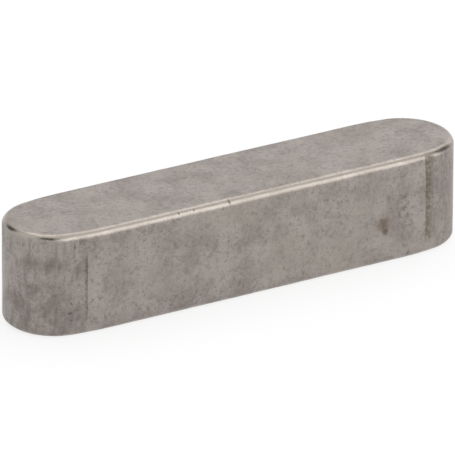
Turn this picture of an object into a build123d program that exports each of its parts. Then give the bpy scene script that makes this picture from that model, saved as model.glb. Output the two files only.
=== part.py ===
"""Parallel key with round ends: one solid bar of bright-drawn square steel.

The frame: X runs along the key, Y across its width, and Z up from the face
that lies in the shaft's keyway. The origin is the middle of that face.
Sizes are in millimetres.
"""

import os
from math import atan2, degrees, sqrt

from build123d import *

# Driving sizes: a 6 x 6 key, 28 long, with both ends round
key_width = 6.0
key_height = 6.0
key_length = 28.0

# The rounding all along the rims of the two broad faces
rim_radius = 0.4

# Each end is milled to a nose a little narrower than the bar, and a long
# arc leads the flank into it
nose_narrowing = 0.16
lead_in_radius = 16.0

# The cutter runs out on the flat of the flank and leaves a low ledge there,
# which dies away towards the rims
ledge_to_tip = 3.2
ledge_shoulder_radius = 0.9

# Sizes that follow from those: the lead-in touches both the flank and the nose
nose_radius = key_width / 2 - nose_narrowing
nose_centre = key_length / 2 - nose_radius
lead_in_length = sqrt((lead_in_radius - nose_radius) ** 2 - (lead_in_radius - key_width / 2) ** 2)
lead_in_start = nose_centre - lead_in_length
lead_in_angle = degrees(atan2(lead_in_length, lead_in_radius - key_width / 2))
ledge_x = key_length / 2 - ledge_to_tip

# The drawn bar between the ledges, whose flanks stay flat and at full width
with BuildPart() as drawn_bar:
    Box(2 * ledge_x, key_width, key_height, align=(Align.CENTER, Align.CENTER, Align.MIN))
    fillet(drawn_bar.edges().filter_by(Axis.X), radius=ledge_shoulder_radius)

# The milled form from tip to tip, drawn as a quarter of its outline and mirrored
with BuildPart() as key:
    with BuildSketch():
        with BuildLine():
            flank = Line((0, key_width / 2), (lead_in_start, key_width / 2))
            lead_in = JernArc(flank @ 1, flank % 1, lead_in_radius, -lead_in_angle)
            TangentArc(lead_in @ 1, (key_length / 2, 0), tangent=lead_in % 1)
            mirror(about=Plane.XZ)
            mirror(about=Plane.YZ)
        make_face()
    extrude(amount=key_height)
    broad_faces = key.faces().sort_by(Axis.Z)
    fillet([broad_faces[0].edges(), broad_faces[-1].edges()], radius=rim_radius)
    add(drawn_bar.part)

key.part.label = "parallel_key"

os.makedirs("parts", exist_ok=True)
export_step(key.part, "parts/parallel_key.step")
print("volume in cubic millimetres", round(key.part.volume, 2), "solids", len(key.part.solids()))
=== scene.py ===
"""A parallel key in the finish it comes out of the tumbling drum with.

The key is modelled over its CAD frame as one closed shell, fine enough to carry real wear.
X runs along the key, Y across its width, and Z up from the face that lies in the keyway.
"""

import math

import bmesh
import bpy
from mathutils import Matrix, Vector


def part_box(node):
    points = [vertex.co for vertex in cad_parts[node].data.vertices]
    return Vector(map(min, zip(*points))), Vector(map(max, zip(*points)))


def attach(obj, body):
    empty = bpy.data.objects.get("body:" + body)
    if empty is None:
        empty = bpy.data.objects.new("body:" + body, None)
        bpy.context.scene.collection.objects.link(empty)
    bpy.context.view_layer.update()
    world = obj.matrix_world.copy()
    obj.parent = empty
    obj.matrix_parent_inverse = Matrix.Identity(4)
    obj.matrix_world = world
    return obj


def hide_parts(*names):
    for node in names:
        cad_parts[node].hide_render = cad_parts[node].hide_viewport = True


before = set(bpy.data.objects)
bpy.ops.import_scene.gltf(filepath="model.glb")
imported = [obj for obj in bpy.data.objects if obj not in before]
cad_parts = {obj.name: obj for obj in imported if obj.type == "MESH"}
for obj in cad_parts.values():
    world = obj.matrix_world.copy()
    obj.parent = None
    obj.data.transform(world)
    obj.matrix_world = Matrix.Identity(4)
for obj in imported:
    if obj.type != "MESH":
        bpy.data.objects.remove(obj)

bl_info = {
    "name": "Parallel Key",
    "version": (1, 0, 0),
    "blender": (4, 5, 0),
    "location": "3D Viewport > Sidebar > Parallel Key",
    "description": "Models a round-ended parallel key of tumbled steel, and a plain stage to show it on",
    "category": "Add Mesh",
}

NODE = "parallel_key"
LOW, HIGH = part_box(NODE)
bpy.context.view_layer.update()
MM = 0.001


# ---------------------------------------------------------------- settings

class KeyShape(bpy.types.PropertyGroup):
    """The key's sizes, with those of the frame as their defaults."""
    width: bpy.props.FloatProperty(
        name="Width", description="Across the two flanks",
        default=HIGH.y - LOW.y, unit="LENGTH")
    height: bpy.props.FloatProperty(
        name="Height", description="From the keyway face to the top face",
        default=HIGH.z - LOW.z, unit="LENGTH")
    length: bpy.props.FloatProperty(
        name="Length", description="From tip to tip",
        default=HIGH.x - LOW.x, unit="LENGTH")
    rim_radius: bpy.props.FloatProperty(
        name="Rim radius", description="Rounding along the rims of the two broad faces",
        default=0.4 * MM, unit="LENGTH")
    nose_narrowing: bpy.props.FloatProperty(
        name="Nose narrowing", description="How much smaller a nose's radius is than half the width",
        default=0.16 * MM, unit="LENGTH")
    lead_in_radius: bpy.props.FloatProperty(
        name="Lead-in radius", description="Radius of the long arc that leads a flank into a nose",
        default=16 * MM, unit="LENGTH")
    ledge_to_tip: bpy.props.FloatProperty(
        name="Ledge to tip", description="From a ledge to the nearest tip",
        default=3.2 * MM, unit="LENGTH")
    ledge_run: bpy.props.FloatProperty(
        name="Ledge run", description="Length over which a ledge drops",
        default=0.08 * MM, unit="LENGTH")
    shoulder_radius: bpy.props.FloatProperty(
        name="Shoulder radius", description="Rounding with which a ledge dies away towards the rims",
        default=0.9 * MM, unit="LENGTH")


def color_setting(name, description, default):
    return bpy.props.FloatVectorProperty(
        name=name, description=description, default=default, size=3, min=0, max=1, subtype="COLOR")


class KeyFinish(bpy.types.PropertyGroup):
    """The colours of the tumbled steel and of what lies on it, with a painted highlight on the upper rims
    and painted shade below the ledges and on one end.
    """
    dark_steel: color_setting("Dark steel", "The darker blotches of the faces", (0.273, 0.239, 0.221))
    light_steel: color_setting("Light steel", "The lighter blotches of the faces", (0.355, 0.316, 0.293))
    pale_patch: color_setting("Pale patch", "Slightly yellow patches", (0.335, 0.304, 0.262))
    fleck: color_setting("Fleck", "Small dark flecks", (0.13, 0.108, 0.096))
    # Rim colour: the real bright wear of the rims, lightened further as a painted highlight
    rim_wear_and_highlight: color_setting("Rim steel", "The rims, worn bright", (0.412, 0.370, 0.324))
    # Ledge colour: dirt in the corners below the ledges, darkened further as painted shade
    dirt_and_shade: color_setting("Dirt", "Dirt in the corners of the ledges", (0.105, 0.09, 0.055))
    stain: color_setting("Stain", "The brown stain on one flank", (0.14, 0.10, 0.068))
    pit: color_setting("Pit", "The inside of the pits", (0.07, 0.055, 0.045))
    roughness: bpy.props.FloatProperty(
        name="Roughness", description="Roughness of the darker blotches",
        default=0.48, min=0, max=1, subtype="FACTOR")


class KeyStage(bpy.types.PropertyGroup):
    """Where the camera stands and where it aims."""
    azimuth: bpy.props.FloatProperty(
        name="Azimuth", description="Direction the camera looks from, about the vertical",
        default=math.radians(-31.6), subtype="ANGLE")
    elevation: bpy.props.FloatProperty(
        name="Elevation", description="Height of the camera over the horizon, as an angle",
        default=math.radians(23.0), subtype="ANGLE")
    roll: bpy.props.FloatProperty(
        name="Roll", description="Turn of the camera about its own line of sight",
        default=math.radians(0.27), subtype="ANGLE")
    distance: bpy.props.FloatProperty(
        name="Distance", description="From the camera to the middle of the key",
        default=0.57, unit="LENGTH")
    lens: bpy.props.FloatProperty(
        name="Lens", description="Focal length of the camera",
        default=824.3, unit="CAMERA")
    aim_right: bpy.props.FloatProperty(
        name="Aim right", description="How far to the right of the key's middle the camera aims",
        default=-0.123 * MM, unit="LENGTH")
    aim_up: bpy.props.FloatProperty(
        name="Aim up", description="How far over the key's middle the camera aims",
        default=-0.093 * MM, unit="LENGTH")


# ---------------------------------------------------------------- modelling helpers

def start_editing():
    """Opens the new mesh for editing with nothing selected."""
    bpy.ops.object.mode_set(mode="EDIT")
    bpy.ops.mesh.select_all(action="DESELECT")


def finish_editing():
    bpy.ops.object.mode_set(mode="OBJECT")


def select(kind, test):
    """Selects only the vertices, edges or faces of the edited mesh whose middle passes the test."""
    bpy.ops.mesh.select_mode(type=kind)
    bpy.ops.mesh.select_all(action="DESELECT")
    mesh = bmesh.from_edit_mesh(bpy.context.object.data)
    parts = {"VERT": mesh.verts, "EDGE": mesh.edges, "FACE": mesh.faces}[kind]
    found = 0
    for part in parts:
        corners = [part] if kind == "VERT" else part.verts
        middle = sum((corner.co for corner in corners), Vector()) / len(corners)
        if test(middle):
            part.select_set(True)
            found += 1
    mesh.select_flush_mode()
    bmesh.update_edit_mesh(bpy.context.object.data)
    if not found:
        raise RuntimeError("nothing on the key passes the test")


def same(a, b):
    """Whether two lengths agree to a thousandth of a millimetre."""
    return abs(a - b) < 0.001 * MM


# ---------------------------------------------------------------- the key

WALL_STEPS = 44         # up the wall
RIM_STEPS = 8           # round each rim
FLANK_STEPS = 84        # from the middle of the key to a lead-in
NOSE_STEPS = 72         # round a nose
CAP_SPAN = 40           # across a broad face


def end_plan(shape):
    """Where a lead-in starts, the nose's middle, how far off the lead-in's centre is, and its turn."""
    nose_radius = shape.width / 2 - shape.nose_narrowing
    nose_x = shape.length / 2 - nose_radius
    reach = shape.lead_in_radius - shape.width / 2
    lead = math.sqrt((shape.lead_in_radius - nose_radius) ** 2 - reach ** 2)
    return nose_x - lead, nose_x, reach, math.atan2(lead, reach)


def add_wall_profile(shape):
    """One wall with its two rims, as a wire at the middle of the key."""
    bpy.ops.mesh.primitive_plane_add(size=1, location=(0, 0, shape.height / 2), rotation=(0, math.pi / 2, 0))
    key = bpy.context.object
    key.scale = (shape.height, shape.width, 1)
    bpy.ops.object.transform_apply(location=True, rotation=True, scale=True)
    start_editing()
    bpy.ops.mesh.select_all(action="SELECT")
    bpy.ops.mesh.bevel(offset=shape.rim_radius, segments=RIM_STEPS, affect="VERTICES")
    inner = shape.rim_radius - shape.width / 2
    select("VERT", lambda p: p.y > inner + 0.01 * MM)
    bpy.ops.mesh.delete(type="VERT")
    select("EDGE", lambda p: same(p.y, -shape.width / 2))
    bpy.ops.mesh.subdivide(number_cuts=WALL_STEPS - 1)
    return key


def sweep_wall(shape):
    """Draws the profile along one flank, round the nose, and back along the other flank."""
    start_x, nose_x, reach, turn = end_plan(shape)
    ledge_x = shape.length / 2 - shape.ledge_to_tip
    to_ledge = math.asin((ledge_x - start_x) / shape.lead_in_radius)
    past_ledge = math.asin((ledge_x + shape.ledge_run - start_x) / shape.lead_in_radius)
    pieces = ((14, to_ledge), (1, past_ledge - to_ledge), (6, turn - past_ledge))
    bpy.ops.mesh.select_mode(type="VERT")
    bpy.ops.mesh.select_all(action="SELECT")
    bpy.ops.mesh.extrude_repeat(steps=FLANK_STEPS, offset=(start_x / FLANK_STEPS, 0, 0))
    for steps, angle in pieces:
        bpy.ops.mesh.spin(steps=steps, angle=-angle, center=(start_x, reach, 0), axis=(0, 0, 1))
    bpy.ops.mesh.spin(steps=NOSE_STEPS, angle=2 * turn - math.pi, center=(nose_x, 0, 0), axis=(0, 0, 1))
    for steps, angle in reversed(pieces):
        bpy.ops.mesh.spin(steps=steps, angle=-angle, center=(start_x, -reach, 0), axis=(0, 0, 1))
    bpy.ops.mesh.extrude_repeat(steps=FLANK_STEPS, offset=(-start_x / FLANK_STEPS, 0, 0))
    bpy.ops.mesh.select_all(action="SELECT")
    bpy.ops.mesh.remove_doubles(threshold=0.002 * MM)
    finish_editing()


def mirror_key(key):
    """Adds the other half of the wall."""
    mirror = key.modifiers.new("Other half", "MIRROR")
    mirror.use_axis = (True, False, False)
    mirror.merge_threshold = 0.002 * MM
    bpy.ops.object.modifier_apply(modifier=mirror.name)


def fill_cap(shape, z):
    """Fills one broad face with a grid whose corners lie halfway round the noses."""
    _, nose_x, _, _ = end_plan(shape)
    corner = (shape.width / 2 - shape.nose_narrowing - shape.rim_radius) * math.sqrt(0.5)
    place = Vector((-nose_x - corner, -corner, z))
    select("EDGE", lambda p: same(p.z, z))
    bpy.ops.mesh.select_mode(type="VERT")
    mesh = bmesh.from_edit_mesh(bpy.context.object.data)
    nearest = min((v for v in mesh.verts if v.select), key=lambda v: (v.co - place).length)
    mesh.select_history.clear()
    mesh.select_history.add(nearest)
    bmesh.update_edit_mesh(bpy.context.object.data)
    bpy.ops.mesh.fill_grid(span=CAP_SPAN, offset=0, use_interp_simple=True)


def close_key(shape):
    """Closes both broad faces and points every face outwards."""
    start_editing()
    fill_cap(shape, 0)
    fill_cap(shape, shape.height)
    bpy.ops.mesh.select_all(action="SELECT")
    bpy.ops.mesh.normals_make_consistent(inside=False)
    finish_editing()


def apply_displace(key, name, strength, level, group="", texture=None):
    """Pushes the surface along its normals, by a texture, a vertex group or both."""
    displace = key.modifiers.new(name, "DISPLACE")
    displace.strength = strength
    displace.mid_level = level
    displace.vertex_group = group
    if texture:
        displace.texture = texture
        displace.texture_coords = "LOCAL"
    bpy.ops.object.modifier_apply(modifier=displace.name)


def add_group(key, name, weight):
    """A vertex group whose weights follow a function of place and normal."""
    group = key.vertex_groups.new(name=name)
    for vertex in key.data.vertices:
        amount = weight(vertex.co, vertex.normal)
        if amount > 0.001:
            group.add([vertex.index], min(amount, 1), "REPLACE")


def raise_drawn_flanks(key, shape):
    """Lifts what the cutter left of the drawn bar between the two ledges."""
    ledge_x = shape.length / 2 - shape.ledge_to_tip
    full = 0.1 * MM
    flat = shape.height / 2 - shape.shoulder_radius

    def lift(p, normal):
        if abs(p.x) > ledge_x + 0.001 * MM or abs(normal.z) > 0.1:
            return 0
        off_middle = abs(p.z - shape.height / 2)
        past = max(off_middle - flat, 0)
        round_off = shape.shoulder_radius - math.sqrt(max(shape.shoulder_radius ** 2 - past ** 2, 0))
        rise = (shape.width / 2 - abs(p.y)) / full
        fade = min(max((off_middle - 1.2 * MM) / (1.25 * MM), 0), 1)
        worn = rise * (1 - fade * fade * (3 - 2 * fade))
        return min(worn, rise - round_off / full)

    add_group(key, "drawn flank", lift)
    apply_displace(key, "Drawn flank", full, 0, group="drawn flank")


def clouds(name, scale, depth):
    texture = bpy.data.textures.new(name, "CLOUDS")
    texture.noise_scale = scale
    texture.noise_depth = depth
    return texture


def wear_key(key):
    """Tumbling wear: a slow wave, a fine peening, knocks along the rims and one crescent nick."""
    apply_displace(key, "Wave", 0.02 * MM, 1, texture=clouds("wave", 3.5 * MM, 1))
    apply_displace(key, "Peening", 0.006 * MM, 1, texture=clouds("peening", 0.35 * MM, 2))
    add_group(key, "rims", lambda p, n: 4 * n.z ** 2 * (1 - n.z ** 2))
    apply_displace(key, "Rim knocks", 0.035 * MM, 1, group="rims", texture=clouds("rim knocks", 0.9 * MM, 2))

    def nick(p, normal):
        across = (p - Vector((-11.6, -2.75, 5.35)) * MM) / MM
        bow = across.x + 0.35 * across.z - 0.5 * across.z ** 2
        return math.exp(-(bow / 0.11) ** 2 - (across.z / 0.32) ** 2) if across.length < 1 else 0

    add_group(key, "nick", nick)
    apply_displace(key, "Nick", -0.07 * MM, 0, group="nick")


def record_surface(key):
    """Keeps, for the steel, how far each point is rim and how far it is wall."""
    rim = key.data.attributes.new("rim", "FLOAT", "POINT")
    wall = key.data.attributes.new("wall", "FLOAT", "POINT")
    rise = [vertex.normal.z ** 2 for vertex in key.data.vertices]
    rim.data.foreach_set("value", [4 * r * (1 - r) for r in rise])
    wall.data.foreach_set("value", [1 - r for r in rise])


class PARALLELKEY_OT_key(bpy.types.Operator):
    """Models the key over its CAD node and gives it its steel"""
    bl_idname = "parallel_key.add_key"
    bl_label = "Key"

    def execute(self, context):
        shape = context.scene.key_shape
        bpy.ops.object.select_all(action="DESELECT")
        key = add_wall_profile(shape)
        sweep_wall(shape)
        mirror_key(key)
        close_key(shape)
        record_surface(key)
        raise_drawn_flanks(key, shape)
        wear_key(key)
        key.name = "worn_key"
        bpy.ops.object.shade_smooth_by_angle(angle=math.radians(40))
        key.data.materials.append(tumbled_steel(shape, context.scene.key_finish))
        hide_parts(NODE)
        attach(key, "root")
        return {"FINISHED"}


# ---------------------------------------------------------------- the steel

def add_node(tree, kind, inputs=None, **settings):
    """A node with its settings; each input is a socket to link or a plain value."""
    node = tree.nodes.new(kind)
    for name, value in settings.items():
        setattr(node, name, value)
    for name, value in (inputs or {}).items():
        if isinstance(value, bpy.types.NodeSocket):
            tree.links.new(value, node.inputs[name])
        else:
            node.inputs[name].default_value = value
    return node


def work_out(tree, operation, a, b=0.0):
    node = add_node(tree, "ShaderNodeMath", {0: a, 1: b}, operation=operation)
    return node.outputs[0]


def spread(tree, value, low, high, to_low=0.0, to_high=1.0):
    """Maps a value smoothly from one range to another."""
    sockets = {"Value": value, "From Min": low, "From Max": high, "To Min": to_low, "To Max": to_high}
    return add_node(tree, "ShaderNodeMapRange", sockets, interpolation_type="SMOOTHSTEP").outputs[0]


def grain(tree, place, size, detail=3.0, stretch=(1, 1, 1)):
    """Noise whose features are about the given size, longer where stretch is more than 1."""
    scale = tuple(1 / (size * s) for s in stretch)
    mapping = add_node(tree, "ShaderNodeMapping", {"Vector": place, "Scale": scale})
    sockets = {"Vector": mapping.outputs[0], "Scale": 1.0, "Detail": detail, "Roughness": 0.6}
    return add_node(tree, "ShaderNodeTexNoise", sockets).outputs[0]


def tint(tree, factor, under, over):
    """Lays one colour over another."""
    node = add_node(tree, "ShaderNodeMix", {0: factor, 6: under, 7: over}, data_type="RGBA")
    return node.outputs[2]


def spot(tree, place, middle, size, ragged):
    """A soft ragged spot, 1 at its middle, with a size along each axis in millimetres."""
    middle = tuple(m * MM for m in middle)
    off = add_node(tree, "ShaderNodeVectorMath", {0: place, 1: middle}, operation="SUBTRACT")
    scale = tuple(1 / (s * MM) for s in size)
    shaped = add_node(tree, "ShaderNodeVectorMath", {0: off.outputs[0], 1: scale}, operation="MULTIPLY")
    reach = add_node(tree, "ShaderNodeVectorMath", {0: shaped.outputs[0]}, operation="LENGTH")
    edge = work_out(tree, "ADD", reach.outputs["Value"], work_out(tree, "MULTIPLY", ragged, 0.8))
    return spread(tree, edge, 0.5, 1.5, 1.0, 0.0)


def times(tree, a, b):
    return work_out(tree, "MULTIPLY", a, b)


# Tints that stay close to the steel's own colour.
BRIGHT_GRAIN = (0.40, 0.37, 0.335, 1)
DARK_GRAIN = (0.16, 0.138, 0.122, 1)
DULL_SPECKLE = (0.145, 0.125, 0.112, 1)
DRAWN_STREAK = (0.34, 0.315, 0.29, 1)
MILLED_STREAK = (0.155, 0.135, 0.122, 1)
# Residue and painted shade for the end towards negative X, darker below its upper rim
END_RESIDUE_AND_SHADE = (0.135, 0.115, 0.1, 1)

# The middle and the size of each mark, in millimetres.
CROWDED_FLECKS = ((9.7, -3.0, 3.0), (1.1, 0.6, 1.7))
BROWN_STAIN = ((8.05, -3.0, 2.4), (0.55, 0.7, 0.6))
PITS = (
    ((-11.75, -2.78, 2.0), (0.09, 0.3, 0.09)),
    ((-11.8, -2.77, 1.43), (0.18, 0.3, 0.12)),
    ((-11.5, -2.8, 5.25), (0.08, 0.3, 0.2)),
    ((-11.75, -2.78, 1.0), (0.07, 0.3, 0.07)),
    ((8.2, -3.0, 1.95), (0.24, 0.3, 0.27)),
    ((-1.8, -2.9, 5.85), (0.09, 0.3, 0.25)),
    ((-5.0, -2.9, 5.85), (0.06, 0.3, 0.1)),
    ((-4.05, -2.9, 5.85), (0.06, 0.3, 0.1)),
)


def mottle(tree, place, noise, color_of):
    """The faces' blotches, grain, pale patches and flecks."""
    blotched = spread(tree, noise["blotch"], 0.34, 0.66)
    color = tint(tree, blotched, color_of["dark_steel"], color_of["light_steel"])
    color = tint(tree, times(tree, spread(tree, noise["mid"], 0.48, 0.3), 0.3), color, BRIGHT_GRAIN)
    color = tint(tree, times(tree, spread(tree, noise["mid"], 0.5, 0.7), 0.45), color, DARK_GRAIN)
    color = tint(tree, times(tree, spread(tree, noise["speckle"], 0.53, 0.7), 0.36), color, DULL_SPECKLE)
    color = tint(tree, spread(tree, noise["patch"], 0.45, 0.65, 0.0, 0.4), color, color_of["pale_patch"])
    crowded = spot(tree, place, *CROWDED_FLECKS, noise["blotch"])
    sparse = spread(tree, noise["fleck"], 0.54, 0.74, 0.0, 0.5)
    dense = times(tree, crowded, spread(tree, noise["fleck"], 0.47, 0.6, 0.0, 0.6))
    return tint(tree, work_out(tree, "MAXIMUM", sparse, dense), color, color_of["fleck"])


def tool_marks_and_end_shade(tree, color, axes, noise, round_end):
    """Streaks along the drawn bar and up the milled ends, and residue with painted shade on the end towards
    negative X, below its upper rim.
    """
    color = tint(tree, times(tree, spread(tree, noise["lengthwise"], 0.5, 0.7), 0.1), color, DRAWN_STREAK)
    milled = times(tree, spread(tree, noise["upright"], 0.45, 0.7), round_end)
    color = tint(tree, times(tree, milled, 0.42), color, MILLED_STREAK)
    # Painted shade, with residue: the end towards negative X darkens in blotches below its upper rim
    below_rim = times(tree, spread(tree, axes["Z"], 4.9 * MM, 4.2 * MM), round_end)
    one_end = spread(tree, axes["X"], -10 * MM, 0.0, 1.0, 0.0)
    blotched = spread(tree, noise["blotch"], 0.62, 0.38, 0.05, 0.38)
    return tint(tree, times(tree, times(tree, below_rim, one_end), blotched), color, END_RESIDUE_AND_SHADE)


def ledge_dirt_and_shade(tree, axes, past_ledge, wall, ragged):
    """Dirt and painted shade in the corner below each ledge: a band, thickest at one of them, and a thin
    line.
    """
    near = work_out(tree, "GREATER_THAN", past_ledge, 0.0)
    right = work_out(tree, "GREATER_THAN", axes["X"], 0.0)
    front = work_out(tree, "LESS_THAN", axes["Y"], 0.0)
    amount = work_out(tree, "ADD", 0.1, times(tree, times(tree, right, front), 0.75))
    on_wall = times(tree, spread(tree, axes["Z"], 0.5 * MM, 1.3 * MM), wall)
    band = times(tree, spread(tree, past_ledge, 0.25 * MM, 0.75 * MM, 1.0, 0.0), near)
    band = times(tree, times(tree, band, amount), on_wall)
    line = times(tree, spread(tree, past_ledge, 0.09 * MM, 0.2 * MM, 0.5, 0.0), near)
    line = times(tree, line, spread(tree, axes["Z"], 4.4 * MM, 5.0 * MM, 1.0, 0.0))
    line = times(tree, line, on_wall)
    dirt_and_shade = work_out(tree, "MAXIMUM", band, line)
    return times(tree, dirt_and_shade, spread(tree, ragged, 0.35, 0.62, 0.45, 1.0))


def all_pits(tree, place, speckle):
    """The pits at their own places, and fainter ones scattered all over."""
    cells = add_node(tree, "ShaderNodeTexVoronoi", {"Vector": place, "Scale": 1 / (1.3 * MM)})
    pits = times(tree, spread(tree, cells.outputs["Distance"], 0.02, 0.09, 0.6, 0.0), 0.4)
    for middle, size in PITS:
        pits = work_out(tree, "MAXIMUM", pits, spot(tree, place, middle, size, speckle))
    return pits


def tumbled_steel(shape, finish):
    """Warm grey tumbled steel with worn rims and a painted highlight on the upper ones, dirt and painted
    shade below the ledges, residue and painted shade on one end, a stain and pits.
    """
    material = bpy.data.materials.new("tumbled steel")
    material.use_nodes = True
    tree = material.node_tree
    shader = tree.nodes["Principled BSDF"]
    place = add_node(tree, "ShaderNodeTexCoord").outputs["Object"]
    axes = add_node(tree, "ShaderNodeSeparateXYZ", {0: place}).outputs
    rim = add_node(tree, "ShaderNodeAttribute", attribute_name="rim").outputs["Fac"]
    wall = add_node(tree, "ShaderNodeAttribute", attribute_name="wall").outputs["Fac"]
    color_of = {name: (*getattr(finish, name), 1) for name in (
        "dark_steel", "light_steel", "pale_patch", "fleck", "rim_wear_and_highlight", "dirt_and_shade", "stain", "pit")}
    noise = {
        "blotch": grain(tree, place, 1.6 * MM, 4.0),
        "speckle": grain(tree, place, 0.11 * MM, 2.0),
        "fleck": grain(tree, place, 0.34 * MM, 6.0),
        "mid": grain(tree, place, 0.22 * MM, 3.0),
        "patch": grain(tree, place, 2.6 * MM, 3.0, (1.6, 1, 1)),
        "lengthwise": grain(tree, place, 0.14 * MM, 2.0, (14, 1, 1)),
        "upright": grain(tree, place, 0.26 * MM, 4.0, (1, 1, 5)),
    }
    ledge_x = shape.length / 2 - shape.ledge_to_tip
    past_ledge = work_out(tree, "SUBTRACT", work_out(tree, "ABSOLUTE", axes["X"]), ledge_x)
    round_end = times(tree, spread(tree, past_ledge, 0.0, 0.5 * MM), wall)

    color = mottle(tree, place, noise, color_of)
    color = tool_marks_and_end_shade(tree, color, axes, noise, round_end)
    # Painted highlight on the upper rims only, over their real wear: the rim colour fades in with height
    upper_rim_wear_and_highlight = times(tree, rim, spread(tree, axes["Z"], 1 * MM, 5 * MM, 0.0, 0.9))
    color = tint(tree, upper_rim_wear_and_highlight, color, color_of["rim_wear_and_highlight"])
    dirt_and_shade = ledge_dirt_and_shade(tree, axes, past_ledge, wall, noise["mid"])
    # Dirt and painted shade in the corners below the ledges
    color = tint(tree, dirt_and_shade, color, color_of["dirt_and_shade"])
    stain = spot(tree, place, *BROWN_STAIN, noise["fleck"])
    stain = times(tree, stain, work_out(tree, "ADD", 0.25, noise["mid"]))
    color = tint(tree, stain, color, color_of["stain"])
    pits = all_pits(tree, place, noise["speckle"])
    color = tint(tree, times(tree, pits, 0.65), color, color_of["pit"])

    rough = spread(tree, noise["blotch"], 0.3, 0.7, finish.roughness, finish.roughness - 0.1)
    rough = work_out(tree, "ADD", rough, times(tree, rim, -0.16))
    rough = work_out(tree, "ADD", rough, times(tree, dirt_and_shade, 0.3))
    relief = work_out(tree, "SUBTRACT", times(tree, noise["speckle"], 0.5), pits)
    bump = add_node(tree, "ShaderNodeBump", {"Height": relief, "Strength": 0.5, "Distance": 0.012 * MM})
    tree.links.new(color, shader.inputs["Base Color"])
    tree.links.new(rough, shader.inputs["Roughness"])
    tree.links.new(spread(tree, dirt_and_shade, 0.0, 1.0, 1.0, 0.35), shader.inputs["Metallic"])
    tree.links.new(bump.outputs[0], shader.inputs["Normal"])
    return material


# ---------------------------------------------------------------- the stage

def camera_axes(stage):
    """The camera's right, up and backward directions."""
    across = Vector((math.cos(stage.azimuth), math.sin(stage.azimuth), 0))
    flat = math.cos(stage.elevation)
    forth = (math.sin(stage.azimuth) * flat, -math.cos(stage.azimuth) * flat)
    backward = Vector((*forth, math.sin(stage.elevation)))
    upright = backward.cross(across)
    right = across * math.cos(stage.roll) + upright * math.sin(stage.roll)
    up = upright * math.cos(stage.roll) - across * math.sin(stage.roll)
    return right, up, backward


def add_camera(stage, shape):
    right, up, backward = camera_axes(stage)
    middle = Vector((0, 0, shape.height / 2))
    place = middle + backward * stage.distance + right * stage.aim_right + up * stage.aim_up
    bpy.ops.object.camera_add(location=place)
    camera = bpy.context.object
    camera.name = "camera"
    camera.matrix_world = Matrix.Translation(place) @ Matrix((right, up, backward)).transposed().to_4x4()
    camera.data.lens = stage.lens
    camera.data.clip_start = 0.01
    camera.data.clip_end = 10
    bpy.context.scene.camera = camera


def seen_directly(tree):
    """1 for what the camera, a reflection or a view through glass meets, otherwise 0."""
    rays = add_node(tree, "ShaderNodeLightPath").outputs
    both = work_out(tree, "MAXIMUM", rays["Is Camera Ray"], rays["Is Glossy Ray"])
    return work_out(tree, "MAXIMUM", both, rays["Is Transmission Ray"])


def add_floor():
    """A pale floor that shows nearly white and keeps a faint shadow."""
    bpy.ops.mesh.primitive_plane_add(size=6, location=(0, 0, 0))
    floor = bpy.context.object
    floor.name = "floor"
    material = bpy.data.materials.new("pale floor")
    material.use_nodes = True
    tree = material.node_tree
    tree.nodes.clear()
    matt = add_node(tree, "ShaderNodeBsdfDiffuse", {"Color": (0.9, 0.9, 0.9, 1)})
    white = add_node(tree, "ShaderNodeEmission", {"Color": (1, 1, 1, 1), "Strength": 1.0})
    share = work_out(tree, "MULTIPLY", seen_directly(tree), 0.8)
    mixed = add_node(tree, "ShaderNodeMixShader", {0: share, 1: matt.outputs[0], 2: white.outputs[0]})
    add_node(tree, "ShaderNodeOutputMaterial", {"Surface": mixed.outputs[0]})
    floor.data.materials.append(material)


def add_room():
    """A white room, at a plain level for what it lights."""
    world = bpy.data.worlds.new("room")
    bpy.context.scene.world = world
    world.use_nodes = True
    tree = world.node_tree
    ground = tree.nodes["Background"]
    ground.inputs["Color"].default_value = (1, 1, 1, 1)
    tree.links.new(spread(tree, seen_directly(tree), 0.0, 1.0, 0.8, 1.0), ground.inputs["Strength"])


def add_softbox(name, angle, width, height, power):
    """An area light that faces the key, at an angle up and over from behind it."""
    direction = Vector((0.482, 0.876 * math.cos(angle), 0.876 * math.sin(angle)))
    bpy.ops.object.light_add(type="AREA", location=direction * 0.6)
    light = bpy.context.object
    light.name = name
    light.data.shape = "RECTANGLE"
    light.data.size = width
    light.data.size_y = height
    light.data.energy = power
    light.visible_camera = False
    across = Vector((1, 0, 0))
    across = (across - direction * across.dot(direction)).normalized()
    upright = direction.cross(across)
    light.matrix_world = Matrix.Translation(direction * 0.6) @ Matrix(
        (across, upright, direction)).transposed().to_4x4()


def add_flag(name, direction, width, height):
    """A dark card that shows only in reflections, as dark patches on the rims of the noses."""
    direction = Vector(direction).normalized()
    bpy.ops.mesh.primitive_plane_add(size=1, location=direction * 0.5)
    flag = bpy.context.object
    flag.scale = (width, height, 1)
    flag.name = name
    flag.rotation_euler = direction.to_track_quat("Z", "Y").to_euler()
    material = bpy.data.materials.new(name)
    material.use_nodes = True
    shader = material.node_tree.nodes["Principled BSDF"]
    shader.inputs["Base Color"].default_value = (0.02, 0.02, 0.02, 1)
    shader.inputs["Roughness"].default_value = 0.9
    flag.data.materials.append(material)
    flag.visible_camera = False
    flag.visible_diffuse = False
    flag.visible_shadow = False


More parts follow.
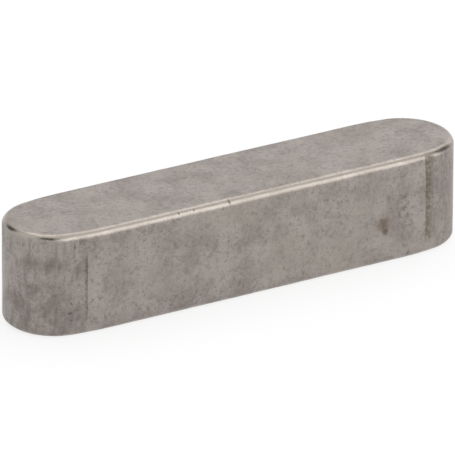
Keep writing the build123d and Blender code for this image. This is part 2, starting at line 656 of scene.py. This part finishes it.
class PARALLELKEY_OT_stage(bpy.types.Operator):
    """Sets up the floor, the lights and the camera"""
    bl_idname = "parallel_key.add_stage"
    bl_label = "Stage"

    def execute(self, context):
        scene = context.scene
        bpy.ops.object.select_all(action="DESELECT")
        add_floor()
        add_room()
        add_softbox("back softbox", math.radians(70), 1.2, 0.37, 1.5)
        add_softbox("front softbox", math.radians(150), 1.2, 0.5, 2.3)
        add_flag("left flag", (-0.48, -0.48, 0.73), 0.34, 0.28)
        add_flag("back left flag", (-0.38, 0.78, 0.47), 0.24, 0.24)
        add_flag("right flag", (0.88, -0.14, 0.45), 0.4, 0.34)
        add_camera(scene.key_stage, scene.key_shape)
        scene.view_settings.view_transform = "Standard"
        return {"FINISHED"}


# ---------------------------------------------------------------- the add-on

class PARALLELKEY_PT_sidebar(bpy.types.Panel):
    bl_idname = "PARALLELKEY_PT_sidebar"
    bl_label = "Parallel Key"
    bl_space_type = "VIEW_3D"
    bl_region_type = "UI"
    bl_category = "Parallel Key"

    def draw(self, context):
        layout = self.layout
        scene = context.scene
        rows = ((scene.key_shape, None), (scene.key_finish, PARALLELKEY_OT_key),
                (scene.key_stage, PARALLELKEY_OT_stage))
        for settings, operator in rows:
            for name in settings.bl_rna.properties.keys():
                if name not in ("rna_type", "name"):
                    layout.prop(settings, name)
            if operator:
                layout.operator(operator.bl_idname)


CLASSES = (KeyShape, KeyFinish, KeyStage, PARALLELKEY_OT_key, PARALLELKEY_OT_stage, PARALLELKEY_PT_sidebar)


def register():
    for cls in CLASSES:
        bpy.utils.register_class(cls)
    bpy.types.Scene.key_shape = bpy.props.PointerProperty(type=KeyShape)
    bpy.types.Scene.key_finish = bpy.props.PointerProperty(type=KeyFinish)
    bpy.types.Scene.key_stage = bpy.props.PointerProperty(type=KeyStage)


def unregister():
    del bpy.types.Scene.key_stage
    del bpy.types.Scene.key_finish
    del bpy.types.Scene.key_shape
    for cls in reversed(CLASSES):
        bpy.utils.unregister_class(cls)


def main():
    register()
    bpy.ops.parallel_key.add_key()
    bpy.ops.parallel_key.add_stage()


if __name__ == "__main__":
    main()
